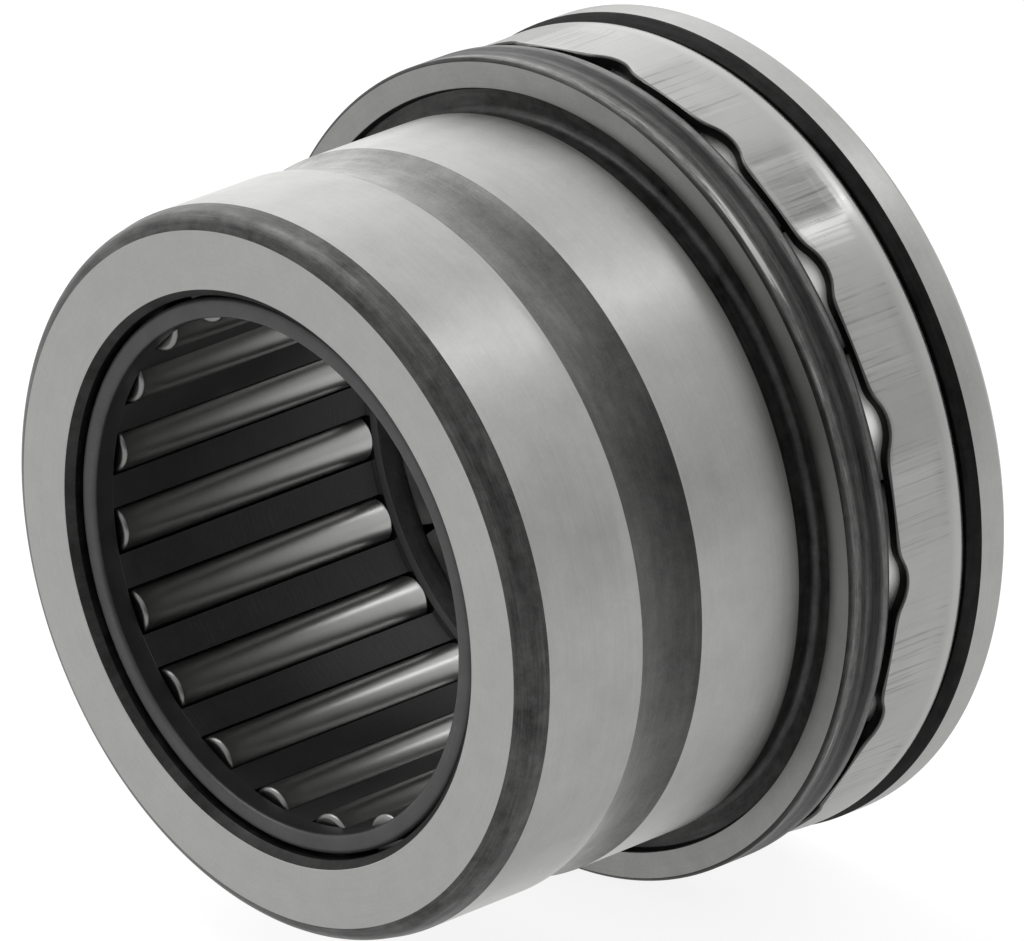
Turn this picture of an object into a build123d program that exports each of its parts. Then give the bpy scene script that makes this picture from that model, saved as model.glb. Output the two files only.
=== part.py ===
from build123d import *
import math
import os

"""Combined needle roller / thrust ball bearing, 25 mm shaft size, without end cap.

Frame: the bearing axis is the Y axis.  The needle end faces -Y (front), the
thrust end with the loose shaft washer faces +Y (back), +Z is up.  The origin
lies on the axis at half the overall width.  Millimetres.
"""

# ---------------------------------------------------------- shared dimensions
WIDTH = 30.0                    # needle end face to back face of the shaft washer
FRONT = -WIDTH / 2              # y of the needle end face
BACK = WIDTH / 2                # y of the shaft washer seat face

RIB_FRONT_Y = FRONT + 1.75      # the needles run between these two ribs
RIB_BACK_Y = FRONT + 18.85
FLANGE_BACK_Y = FRONT + 21.85   # thrust raceway face of the flange
WASHER_Y0 = FRONT + 27.35       # thrust raceway face of the washer

NEEDLES = 20
NEEDLE_R = 2.5 / 2
NEEDLE_L = 16.5
NEEDLE_Y0 = (RIB_FRONT_Y + RIB_BACK_Y - NEEDLE_L) / 2
NEEDLE_Y1 = NEEDLE_Y0 + NEEDLE_L
NEEDLE_PHASE = 135.7            # angle of needle_01
INSCRIBED_D = 25.03             # circle under the needles, a running fit on the shaft
NEEDLE_PITCH_R = INSCRIBED_D / 2 + NEEDLE_R

BALLS = 16
BALL_R = 6.35 / 2
BALL_PITCH_R = 33.5 / 2
BALL_Y = (FLANGE_BACK_Y + WASHER_Y0) / 2
BALL_PHASE = 21.5               # angle of ball_01
TRACK_PLAY = 0.04               # play of the ball in the raceway groove

ROUND_INSET = 1 - math.sqrt(0.5)  # inset of a quarter round's middle, per unit radius


# -------------------------------------------------------------------- helpers
def outline(corners):
    """Closed flat face from corners (x, y).

    A third item in a corner is the point that the arc to the next corner
    passes through; without it the side is straight.
    """
    edges = []
    for corner, following in zip(corners, corners[1:] + corners[:1]):
        start, end = corner[:2], following[:2]
        if len(corner) == 3:
            edges.append(ThreePointArc(start, corner[2], end))
        else:
            edges.append(Line(start, end))
    return make_face(edges)


def ring(corners):
    """Solid of revolution about the Y axis from (radius, y) corners."""
    return revolve(outline(corners), Axis.Y, 360)


def track_groove():
    """Ring-shaped tool of round section for the ball raceways."""
    section = Pos(BALL_PITCH_R, BALL_Y, 0) * Circle(BALL_R + TRACK_PLAY)
    return revolve(section, Axis.Y, 360)


def polar(radius, angle):
    """x and z at an angle in degrees from +X towards +Z."""
    turn = math.radians(angle)
    return radius * math.cos(turn), radius * math.sin(turn)


def angles(count, phase):
    return [phase + i * 360 / count for i in range(count)]


def radial_plane(radius, y, angle):
    """Plane facing outwards: local x runs round the axis, local y along +Y."""
    x, z = polar(radius, angle)
    out_x, out_z = polar(1, angle)
    return Plane(origin=(x, y, z), x_dir=(out_z, 0, -out_x), z_dir=(out_x, 0, out_z))


def save(shape, name):
    solids = shape.solids()
    shape = solids[0] if len(solids) == 1 else Compound(list(solids))
    shape.label = name
    export_step(shape, f"parts/{name}.step")


# ----------------------------------------------------------------- outer ring
RING_R = 37.0 / 2               # housing bore size
RIB_R = 28.4 / 2                # bore of the two integral ribs
RACEWAY_R = 30.09 / 2           # needle raceway
RACEWAY_BEVEL = 0.25            # corners between raceway and ribs
FRONT_BORE_BEVEL = 0.40         # axial length, at the needle end
BACK_BORE_BEVEL = 0.45          # at the flange
FACE_IN_R = 29.22 / 2           # inner edge of the ground end face
FACE_OUT_R = 35.12 / 2          # outer edge of the ground end face
NOSE_LEN = 1.47                 # length of the rounded lead-in on the outside

SEAT_Y = FRONT + 19.0           # flange seat face, towards the housing shoulder
FLANGE_R = 42.0 / 2
FLANGE_EDGE = 0.16              # bevel on the seat side
FLANGE_BACK_R = 0.50            # rounding on the thrust side

GROOVE_Y0 = FRONT + 7.55        # lubrication groove, a shallow hollow of round section
GROOVE_Y1 = FRONT + 11.47
GROOVE_MID_Y = (GROOVE_Y0 + GROOVE_Y1) / 2
GROOVE_FLOOR_R = RING_R - 0.36

UNDERCUT_Y0 = FRONT + 17.97     # undercut in the corner at the flange
UNDERCUT_R = RING_R - 0.40      # floor of the undercut
UNDERCUT_RAMP = 0.42            # length of the slope down to the floor
UNDERCUT_FACE_Y = SEAT_Y + 0.46  # bottom of the undercut in the seat face
UNDERCUT_FACE_R = 38.92 / 2     # inner edge of the ground seat face
UNDERCUT_FACE_RAMP = 0.10       # radial width of the slope up to the seat face

LUBE_HOLE_R = 1.0
LUBE_HOLE_ANGLE = 256.0
LUBE_HOLE_MID_R = RING_R - 1.5  # middle of the drill's length
LUBE_DRILL_LEN = 8.0
SINK_SIZE = 0.55                # depth and widening of the countersink
SINK_MID_R = GROOVE_FLOOR_R - 0.10


def make_outer_ring():
    round_inset = FLANGE_BACK_R * ROUND_INSET
    body = ring([
        # end face and rounded lead-in
        (FACE_IN_R, FRONT),
        (FACE_OUT_R, FRONT),
        (FACE_OUT_R + 0.30, FRONT + 0.16, (RING_R - 0.27, FRONT + 0.50)),
        (RING_R - 0.10, FRONT + 0.98),
        (RING_R, FRONT + NOSE_LEN),
        # lubrication groove
        (RING_R, GROOVE_Y0, (GROOVE_FLOOR_R, GROOVE_MID_Y)),
        (RING_R, GROOVE_Y1),
        # undercut
        (RING_R, UNDERCUT_Y0),
        (UNDERCUT_R, UNDERCUT_Y0 + UNDERCUT_RAMP),
        (UNDERCUT_R, SEAT_Y + 0.02, (UNDERCUT_R + 0.13, SEAT_Y + 0.33)),
        (UNDERCUT_R + 0.42, UNDERCUT_FACE_Y),
        (UNDERCUT_FACE_R - UNDERCUT_FACE_RAMP, UNDERCUT_FACE_Y),
        (UNDERCUT_FACE_R, SEAT_Y),
        # flange
        (FLANGE_R - FLANGE_EDGE, SEAT_Y),
        (FLANGE_R, SEAT_Y + FLANGE_EDGE),
        (FLANGE_R, FLANGE_BACK_Y - FLANGE_BACK_R,
         (FLANGE_R - round_inset, FLANGE_BACK_Y - round_inset)),
        (FLANGE_R - FLANGE_BACK_R, FLANGE_BACK_Y),
        # bore: back rib, needle raceway, front rib
        (RIB_R + BACK_BORE_BEVEL, FLANGE_BACK_Y),
        (RIB_R, FLANGE_BACK_Y - BACK_BORE_BEVEL),
        (RIB_R, RIB_BACK_Y),
        (RACEWAY_R - RACEWAY_BEVEL, RIB_BACK_Y),
        (RACEWAY_R, RIB_BACK_Y - RACEWAY_BEVEL),
        (RACEWAY_R, RIB_FRONT_Y + RACEWAY_BEVEL),
        (RACEWAY_R - RACEWAY_BEVEL, RIB_FRONT_Y),
        (RIB_R, RIB_FRONT_Y),
        (RIB_R, FRONT + FRONT_BORE_BEVEL),
    ])
    body -= track_groove()
    hole_plane = radial_plane(LUBE_HOLE_MID_R, GROOVE_MID_Y, LUBE_HOLE_ANGLE)
    body -= hole_plane * Cylinder(LUBE_HOLE_R, LUBE_DRILL_LEN)
    sink_plane = radial_plane(SINK_MID_R, GROOVE_MID_Y, LUBE_HOLE_ANGLE)
    body -= sink_plane * Cone(LUBE_HOLE_R, LUBE_HOLE_R + SINK_SIZE, SINK_SIZE)
    return body


# ---------------------------------------------------------------- needle cage
# The end rings reach inwards, the bars between them are relieved.
NCAGE_OUT_R = 28.0 / 2
NCAGE_IN_R = 26.0 / 2
NCAGE_BAR_R = 26.3 / 2          # inside of the bars; pockets open 2.45 there and hold the needles
NCAGE_Y0 = FRONT + 0.55
NCAGE_Y1 = FRONT + 19.35
NCAGE_OUT_BEVEL = 0.22
NCAGE_IN_BEVEL = 0.18
NCAGE_BAR_RAMP = 0.12           # length of the slope from end ring to bar
POCKET_PLAY = 0.12              # radial play of the needle in its pocket
POCKET_Y0 = NEEDLE_Y0 - 0.25    # with the axial play of the needle
POCKET_Y1 = NEEDLE_Y1 + 0.25


def make_needle_cage():
    body = ring([
        (NCAGE_IN_R + NCAGE_IN_BEVEL, NCAGE_Y0),
        (NCAGE_OUT_R - NCAGE_OUT_BEVEL, NCAGE_Y0),
        (NCAGE_OUT_R, NCAGE_Y0 + NCAGE_OUT_BEVEL),
        (NCAGE_OUT_R, NCAGE_Y1 - NCAGE_OUT_BEVEL),
        (NCAGE_OUT_R - NCAGE_OUT_BEVEL, NCAGE_Y1),
        (NCAGE_IN_R + NCAGE_IN_BEVEL, NCAGE_Y1),
        (NCAGE_IN_R, NCAGE_Y1 - NCAGE_IN_BEVEL),
        (NCAGE_IN_R, POCKET_Y1),
        (NCAGE_BAR_R, POCKET_Y1 - NCAGE_BAR_RAMP),
        (NCAGE_BAR_R, POCKET_Y0 + NCAGE_BAR_RAMP),
        (NCAGE_IN_R, POCKET_Y0),
        (NCAGE_IN_R, NCAGE_Y0 + NCAGE_IN_BEVEL),
    ])
    pocket = Rot(90, 0, 0) * Cylinder(NEEDLE_R + POCKET_PLAY, POCKET_Y1 - POCKET_Y0)
    pockets = []
    for angle in angles(NEEDLES, NEEDLE_PHASE):
        x, z = polar(NEEDLE_PITCH_R, angle)
        pockets.append(Pos(x, (POCKET_Y0 + POCKET_Y1) / 2, z) * pocket)
    return body - pockets


# -------------------------------------------------------------------- needles
NEEDLE_END_R = 0.26             # rounding of the needle ends


def make_needle():
    """One needle, standing on the bearing axis."""
    flat_r = NEEDLE_R - NEEDLE_END_R
    inset = NEEDLE_END_R * ROUND_INSET
    return ring([
        (0, NEEDLE_Y0),
        (flat_r, NEEDLE_Y0, (NEEDLE_R - inset, NEEDLE_Y0 + inset)),
        (NEEDLE_R, NEEDLE_Y0 + NEEDLE_END_R),
        (NEEDLE_R, NEEDLE_Y1 - NEEDLE_END_R, (NEEDLE_R - inset, NEEDLE_Y1 - inset)),
        (flat_r, NEEDLE_Y1),
        (0, NEEDLE_Y1),
    ])


# ---------------------------------------------------------------- thrust cage
# One pressed sheet ring of U section, open towards the flange.
SHEET = 0.62
TCAGE_OUT_R = 41.6 / 2
TCAGE_IN_R = 25.8 / 2
INNER_RIM_R = TCAGE_IN_R + SHEET - 0.05  # outside of the slightly thinner inner rim
OUTER_RIM_R = TCAGE_OUT_R - SHEET        # inside of the outer rim
TCAGE_Y0 = FRONT + 22.45        # free front edge of the outer rim
TCAGE_IN_Y0 = FRONT + 22.35     # free front edge of the inner rim
TCAGE_Y1 = FRONT + 27.20        # back of the web
WEB_Y0 = TCAGE_Y1 - SHEET       # front of the web
BEND_OUT = 0.75                 # outer bend radius
BEND_IN = BEND_OUT - SHEET      # inner bend radius
BEND_Y = TCAGE_Y1 - BEND_OUT    # where the bends start
BALL_POCKET_PLAY = 0.05

SCALLOP_DEPTH = 0.60            # wave of the outer rim's edge over each ball
SCALLOP_R = 2.2                 # hollow of the wave
CREST_R = 1.8                   # crest of the wave
SCALLOP_OVERRUN = 1.2           # the tool reaches this far in front of the edge
SCALLOP_TOOL_R = TCAGE_OUT_R - 1.6  # inner end of the tool
SCALLOP_TOOL_LEN = 3.0

CRIMP_HALF_ANGLE = 6.0          # flats pressed in the rim between the balls, degrees
CRIMP_R = TCAGE_OUT_R * math.cos(math.radians(CRIMP_HALF_ANGLE))
CRIMP_Y0 = TCAGE_Y0 - 1.0       # front end of the tool, clear of the rim
CRIMP_Y1 = FRONT + 25.90        # rear end of the flats
CRIMP_TOOL_WIDTH = 6.0
CRIMP_TOOL_DEPTH = 2.0


def scallop_tool():
    """One wave of the rim edge: x runs round the rim, y towards the web."""
    radii = SCALLOP_R + CREST_R
    hollow_y = SCALLOP_DEPTH - SCALLOP_R    # centre of the hollow, at x = 0
    half_width = math.sqrt(2 * SCALLOP_DEPTH * radii - SCALLOP_DEPTH ** 2)
    # point where hollow and crest meet tangentially
    meet_x = half_width * SCALLOP_R / radii
    meet_y = hollow_y + (CREST_R - hollow_y) * SCALLOP_R / radii
    # middle of the crest arc
    turn = math.atan2(half_width - meet_x, CREST_R - meet_y) / 2
    crest_x = half_width - CREST_R * math.sin(turn)
    crest_y = CREST_R - CREST_R * math.cos(turn)
    wave = outline([
        (-half_width, 0),
        (-half_width, -SCALLOP_OVERRUN),
        (half_width, -SCALLOP_OVERRUN),
        (half_width, 0, (crest_x, crest_y)),
        (meet_x, meet_y, (0, SCALLOP_DEPTH)),
        (-meet_x, meet_y, (-crest_x, crest_y)),
    ])
    return extrude(wave, SCALLOP_TOOL_LEN)


def make_thrust_cage():
    out_inset = BEND_OUT * ROUND_INSET
    in_inset = BEND_IN * ROUND_INSET
    body = ring([
        # outside of the U
        (TCAGE_OUT_R, TCAGE_Y0),
        (TCAGE_OUT_R, BEND_Y, (TCAGE_OUT_R - out_inset, TCAGE_Y1 - out_inset)),
        (TCAGE_OUT_R - BEND_OUT, TCAGE_Y1),
        (TCAGE_IN_R + BEND_OUT, TCAGE_Y1, (TCAGE_IN_R + out_inset, TCAGE_Y1 - out_inset)),
        (TCAGE_IN_R, BEND_Y),
        (TCAGE_IN_R, TCAGE_IN_Y0),
        # inside of the U
        (INNER_RIM_R, TCAGE_IN_Y0),
        (INNER_RIM_R, BEND_Y, (INNER_RIM_R + in_inset, WEB_Y0 - in_inset)),
        (INNER_RIM_R + BEND_IN, WEB_Y0),
        (OUTER_RIM_R - BEND_IN, WEB_Y0, (OUTER_RIM_R - in_inset, WEB_Y0 - in_inset)),
        (OUTER_RIM_R, BEND_Y),
        (OUTER_RIM_R, TCAGE_Y0),
    ])
    pocket = Sphere(BALL_R + BALL_POCKET_PLAY)
    scallop = scallop_tool()
    crimp = Box(CRIMP_TOOL_WIDTH, CRIMP_Y1 - CRIMP_Y0, CRIMP_TOOL_DEPTH)
    crimp_mid_r = CRIMP_R + CRIMP_TOOL_DEPTH / 2
    crimp_mid_y = (CRIMP_Y0 + CRIMP_Y1) / 2
    cuts = []
    for angle in angles(BALLS, BALL_PHASE):
        x, z = polar(BALL_PITCH_R, angle)
        cuts.append(Pos(x, BALL_Y, z) * pocket)
        cuts.append(radial_plane(SCALLOP_TOOL_R, TCAGE_Y0, angle) * scallop)
        # flat between this ball and the next
        cuts.append(radial_plane(crimp_mid_r, crimp_mid_y, angle + 180 / BALLS) * crimp)
    return body - cuts


# --------------------------------------------------------------- shaft washer
WASHER_IN_R = 25.0 / 2
WASHER_OUT_R = 41.9 / 2
WASHER_EDGE_FRONT = 0.50        # outer edge bevels
WASHER_EDGE_BACK = 0.60
WASHER_BORE_BEVEL = 0.55


def make_shaft_washer():
    body = ring([
        (WASHER_IN_R + WASHER_BORE_BEVEL, WASHER_Y0),
        (WASHER_OUT_R - WASHER_EDGE_FRONT, WASHER_Y0),
        (WASHER_OUT_R, WASHER_Y0 + WASHER_EDGE_FRONT),
        (WASHER_OUT_R, BACK - WASHER_EDGE_BACK),
        (WASHER_OUT_R - WASHER_EDGE_BACK, BACK),
        (WASHER_IN_R + WASHER_BORE_BEVEL, BACK),
        (WASHER_IN_R, BACK - WASHER_BORE_BEVEL),
        (WASHER_IN_R, WASHER_Y0 + WASHER_BORE_BEVEL),
    ])
    return body - track_groove()


# ---------------------------------------------------------------------- parts
os.makedirs("parts", exist_ok=True)

save(make_outer_ring(), "outer_ring")
save(make_needle_cage(), "needle_cage")
needle = make_needle()
for i, angle in enumerate(angles(NEEDLES, NEEDLE_PHASE), start=1):
    x, z = polar(NEEDLE_PITCH_R, angle)
    save(Pos(x, 0, z) * needle, f"needle_{i:02d}")
save(make_thrust_cage(), "thrust_cage")
ball = Sphere(BALL_R)
for i, angle in enumerate(angles(BALLS, BALL_PHASE), start=1):
    x, z = polar(BALL_PITCH_R, angle)
    save(Pos(x, BALL_Y, z) * ball, f"ball_{i:02d}")
save(make_shaft_washer(), "shaft_washer")
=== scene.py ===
# Combined bearing: a needle roller bearing with a ball thrust bearing behind its flange.
# The axis lies along Y through the origin, with the open needle end at -Y and the thrust
# washer at +Y.  Z is up and the bearing rests on its flange.  Sizes are in millimetres.

import math
from functools import cached_property

import bmesh
import bpy
import numpy as np
from mathutils import Matrix, Vector


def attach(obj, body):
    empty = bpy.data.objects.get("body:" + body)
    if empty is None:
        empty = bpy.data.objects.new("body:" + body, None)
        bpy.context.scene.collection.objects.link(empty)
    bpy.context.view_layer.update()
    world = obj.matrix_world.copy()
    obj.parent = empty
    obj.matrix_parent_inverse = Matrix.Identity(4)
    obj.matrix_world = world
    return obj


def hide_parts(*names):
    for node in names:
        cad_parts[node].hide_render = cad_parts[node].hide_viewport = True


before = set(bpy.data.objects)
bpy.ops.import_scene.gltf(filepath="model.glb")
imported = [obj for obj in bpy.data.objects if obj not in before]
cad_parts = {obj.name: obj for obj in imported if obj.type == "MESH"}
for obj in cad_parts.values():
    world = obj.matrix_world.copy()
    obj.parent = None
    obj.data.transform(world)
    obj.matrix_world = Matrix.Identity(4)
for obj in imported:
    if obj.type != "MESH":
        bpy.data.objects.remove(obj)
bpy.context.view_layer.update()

MM = 0.001

# ----------------------------------------------------------------- dimensions
# R is a radius, Y a place along the axis; Y0 is the front (-Y) end and Y1 the back end.
FRONT = -15.0
BACK = 15.0

RING_R = 18.5
FLANGE_R = 21.0
RIB_R = 14.2
RACE_R = 15.045
RACE_Y0 = FRONT + 1.75
RACE_Y1 = FRONT + 18.85
FACE_IN_R = 14.61
FACE_OUT_R = 17.56
SEAT_Y = FRONT + 19.0               # front side of the flange
FLANGE_BACK_Y = FRONT + 21.85
GROOVE_Y0 = FRONT + 7.55
GROOVE_Y1 = FRONT + 11.47
GROOVE_DEPTH = 0.36
GROOVE_FLOOR_R = RING_R - GROOVE_DEPTH
GROOVE_MID_Y = (GROOVE_Y0 + GROOVE_Y1) / 2
UNDERCUT_Y0 = FRONT + 17.97         # recess in the corner between cylinder and seat
UNDERCUT_DEPTH = 0.40
UNDERCUT_OUT_R = 19.46
HOLE_ANGLE = 256.0                  # radial hole through the floor of the groove

BALLS = 16
BALL_STEP = 360.0 / BALLS
BALL_PHASE = 21.5
BALL_R = 3.175
BALL_PITCH_R = 16.75
BALL_Y = FRONT + 24.6
BALL_PLAY = 0.05
TRACK_R = 3.215

NEEDLES = 20
NEEDLE_PHASE = 135.7
NEEDLE_PITCH_R = 13.765
NEEDLE_R = 1.25
NEEDLE_Y0 = FRONT + 2.05
NEEDLE_Y1 = FRONT + 18.55
NEEDLE_ROUND = 0.26                 # rounding at the needle ends
NEEDLE_FLAT_R = 0.55                # ring of points on the flat ends

NCAGE_OUT_R = 14.0
NCAGE_IN_R = 13.0
NCAGE_RELIEF_R = 13.15              # bore between the two end rings
NCAGE_Y0 = FRONT + 0.55
NCAGE_Y1 = FRONT + 19.35
POCKET_PLAY = 0.12
POCKET_END_PLAY = 0.25
POCKET_Y0 = NEEDLE_Y0 - POCKET_END_PLAY
POCKET_Y1 = NEEDLE_Y1 + POCKET_END_PLAY

TCAGE_OUT_R = 20.8
TCAGE_IN_R = 12.9
TCAGE_OUT_Y0 = FRONT + 22.45
TCAGE_IN_Y0 = FRONT + 22.35
TCAGE_Y1 = FRONT + 27.20
SHEET = 0.62
BEND_R = 0.75
WAVE_DEPTH = 0.60                   # wavy edge of the thrust cage's outer rim
WAVE_VALLEY_R = 2.2
WAVE_CREST_R = 1.8
WAVE_REACH = 2.6                    # the wave dies out over this length of rim
CRIMP_HALF_ANGLE = 6.0              # flats pressed into the rim between the balls
CRIMP_Y1 = FRONT + 25.90
CRIMP_RUNOUT = 0.25

WASHER_OUT_R = 20.95
WASHER_IN_R = 12.5
WASHER_Y0 = FRONT + 27.35

LATHE_STEP = 0.8                    # longest side of a lathed outline


# ------------------------------------------------------------------- outlines
def near_angle(angle, reference):
    """The same angle, by whole turns, within half a turn of the reference."""
    while angle - reference > math.pi:
        angle -= 2 * math.pi
    while angle - reference < -math.pi:
        angle += 2 * math.pi
    return angle


def arc(start, middle, end, steps):
    """Points on the circle through three points, from start to end."""
    ax, ay = start
    bx, by = middle
    cx, cy = end
    a2, b2, c2 = ax * ax + ay * ay, bx * bx + by * by, cx * cx + cy * cy
    d = 2 * (ax * (by - cy) + bx * (cy - ay) + cx * (ay - by))
    ux = (a2 * (by - cy) + b2 * (cy - ay) + c2 * (ay - by)) / d
    uy = (a2 * (cx - bx) + b2 * (ax - cx) + c2 * (bx - ax)) / d
    radius = math.hypot(ax - ux, ay - uy)
    first = math.atan2(ay - uy, ax - ux)
    mid = near_angle(math.atan2(by - uy, bx - ux), first)
    turn = near_angle(math.atan2(cy - uy, cx - ux), mid) - first
    angles = [first + turn * i / steps for i in range(steps + 1)]
    return [(ux + radius * math.cos(t), uy + radius * math.sin(t)) for t in angles]


class Outline:
    """Closed (radius, y) outline.  Corners may be rounded; each stretch has a finish."""

    def __init__(self):
        self.corners = []

    def corner(self, r, y, rounding, finish, round_finish=None, steps=4):
        """finish is that of the stretch that leaves the corner."""
        self.corners.append(((r, y), rounding, finish, round_finish or finish, steps))

    def curve(self, points, finish):
        for r, y in points:
            self.corner(r, y, 0.0, finish)

    def points(self):
        points, finishes = [], []
        for i, (place, rounding, finish, round_finish, steps) in enumerate(self.corners):
            if rounding <= 0:
                points.append(place)
                finishes.append(finish)
                continue
            p = np.array(place)
            before = np.array(self.corners[i - 1][0]) - p
            after = np.array(self.corners[(i + 1) % len(self.corners)][0]) - p
            len_before, len_after = np.linalg.norm(before), np.linalg.norm(after)
            u, v = before / len_before, after / len_after
            half = math.acos(max(-1, min(1, float(u @ v)))) / 2
            # a rounding never takes more than about half of either side
            trim = min(rounding / math.tan(half), 0.48 * len_before, 0.48 * len_after)
            radius = trim * math.tan(half)
            w = (u + v) / np.linalg.norm(u + v)
            o = p + w * (radius / math.sin(half))
            s, e = p + u * trim, p + v * trim
            first = math.atan2(s[1] - o[1], s[0] - o[0])
            last = near_angle(math.atan2(e[1] - o[1], e[0] - o[0]), first)
            for k in range(steps + 1):
                t = first + (last - first) * k / steps
                points.append((o[0] + radius * math.cos(t), o[1] + radius * math.sin(t)))
                finishes.append(round_finish if k < steps else finish)
        return points, finishes

    def divided(self, longest):
        """Points and finishes, with long stretches split."""
        corners, corner_finishes = self.points()
        points, finishes = [], []
        for i, finish in enumerate(corner_finishes):
            a, b = np.array(corners[i]), np.array(corners[(i + 1) % len(corners)])
            parts = max(1, int(math.ceil(np.linalg.norm(b - a) / longest)))
            for j in range(parts):
                points.append(tuple(a + (b - a) * j / parts))
                finishes.append(finish)
        return points, finishes


# --------------------------------------------------------------- mesh helpers
def add_object(name, mesh):
    ob = bpy.data.objects.new(name, mesh)
    bpy.context.scene.collection.objects.link(ob)
    return ob


def set_smooth(mesh):
    mesh.polygons.foreach_set("use_smooth", [True] * len(mesh.polygons))


def bmesh_object(name, bm, material, smooth=False):
    mesh = bpy.data.meshes.new(name)
    bm.to_mesh(mesh)
    bm.free()
    mesh.materials.append(material)
    if smooth:
        set_smooth(mesh)
    return add_object(name, mesh)


def lathe(name, outline, materials, segments, step=LATHE_STEP, warp=None):
    """Body of revolution about Y.  materials maps finish to material, in slot order;
    warp(angle, r, y) returns moved r and y, on arrays."""
    points, finishes = outline.divided(step)
    n = len(points)
    angles = np.arange(segments) * 2 * math.pi / segments
    places = np.array(points)
    T, R = np.meshgrid(angles, places[:, 0], indexing="ij")
    _, Y = np.meshgrid(angles, places[:, 1], indexing="ij")
    if warp:
        R, Y = warp(T, R, Y)
    verts = np.stack([R * np.cos(T), Y, R * np.sin(T)], -1).reshape(-1, 3) * MM
    i, j = np.meshgrid(np.arange(segments), np.arange(n), indexing="ij")
    i2, j2 = (i + 1) % segments, (j + 1) % n
    quads = np.stack([i * n + j, i * n + j2, i2 * n + j2, i2 * n + j], -1).reshape(-1, 4)
    mesh = bpy.data.meshes.new(name)
    mesh.from_pydata(verts.tolist(), [], quads.tolist())
    for material in materials.values():
        mesh.materials.append(material)
    slots = list(materials)
    indices = np.tile(np.array([slots.index(f) for f in finishes], np.int32), segments)
    mesh.polygons.foreach_set("material_index", indices)
    bm = bmesh.new()
    bm.from_mesh(mesh)
    bmesh.ops.recalc_face_normals(bm, faces=bm.faces)
    bm.to_mesh(mesh)
    bm.free()
    set_smooth(mesh)
    mesh.update()
    return add_object(name, mesh)


def sharpen(ob, degrees):
    ob.data.set_sharp_from_angle(angle=math.radians(degrees))


def cut(ob, tool):
    """Subtracts the tool object, bakes the result into the mesh and removes the tool."""
    modifier = ob.modifiers.new("cut", "BOOLEAN")
    modifier.operation = "DIFFERENCE"
    modifier.solver = "EXACT"
    modifier.object = tool
    bpy.context.view_layer.update()
    graph = bpy.context.evaluated_depsgraph_get()
    mesh = bpy.data.meshes.new_from_object(
        ob.evaluated_get(graph), preserve_all_data_layers=True, depsgraph=graph)
    ob.modifiers.clear()
    old = ob.data
    ob.data = mesh
    mesh.name = old.name
    bpy.data.meshes.remove(old)
    bpy.data.objects.remove(tool)


def skin(bm, rings):
    """Closed tube through rings of coordinates in millimetres."""
    loops = [[bm.verts.new((x * MM, y * MM, z * MM)) for x, y, z in ring] for ring in rings]
    for a, b in zip(loops, loops[1:]):
        for t in range(len(a)):
            u = (t + 1) % len(a)
            bm.faces.new((a[t], a[u], b[u], b[t]))
    bm.faces.new(loops[0])
    bm.faces.new(list(reversed(loops[-1])))


def tool_object(bm, material):
    bmesh.ops.recalc_face_normals(bm, faces=bm.faces)
    return bmesh_object("tool", bm, material)


def circle(cx, y, cz, r, count):
    """Points round an axis parallel to Y."""
    angles = [2 * math.pi * t / count for t in range(count)]
    return [(cx + r * math.cos(a), y, cz + r * math.sin(a)) for a in angles]


def hole_tool(angle, y, stations, material, sides=40):
    """Tool for a radial hole; stations are (distance from the axis, hole radius)."""
    c, s = math.cos(math.radians(angle)), math.sin(math.radians(angle))
    rings = []
    for distance, radius in stations:
        ring = []
        for t in range(sides):
            # turned a little, so that no edge falls on one of the ring's own
            u = 2 * math.pi * (t + 0.37) / sides
            across, along = radius * math.cos(u), radius * math.sin(u)
            ring.append((distance * c - across * s, y + along, distance * s + across * c))
        rings.append(ring)
    bm = bmesh.new()
    skin(bm, rings)
    return tool_object(bm, material)


def rod_tool(r, y0, y1, centres, material, sides=64):
    """Cylinders along Y as one tool."""
    bm = bmesh.new()
    for cx, cz in centres:
        skin(bm, [circle(cx, y, cz, r, sides) for y in (y0, y1)])
    return tool_object(bm, material)


def add_sphere(bm, radius, x, y, z, segments, rings):
    sphere = bmesh.ops.create_uvsphere(
        bm, u_segments=segments, v_segments=rings, radius=radius * MM)
    bmesh.ops.translate(bm, verts=sphere["verts"], vec=(x * MM, y * MM, z * MM))


def ball_tool(r, y, centres, material):
    """Spheres as one tool."""
    bm = bmesh.new()
    for cx, cz in centres:
        add_sphere(bm, r, cx, y, cz, segments=64, rings=40)
    return tool_object(bm, material)


def pitch_circle(count, r, phase):
    """(x, z) of evenly spaced parts; phase in degrees from +X towards +Z."""
    angles = [math.radians(phase + i * 360.0 / count) for i in range(count)]
    return [(r * math.cos(a), r * math.sin(a)) for a in angles]


def stand_in(ob, node):
    """Puts the object in the place of a CAD piece."""
    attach(ob, node)
    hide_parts(node)


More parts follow.
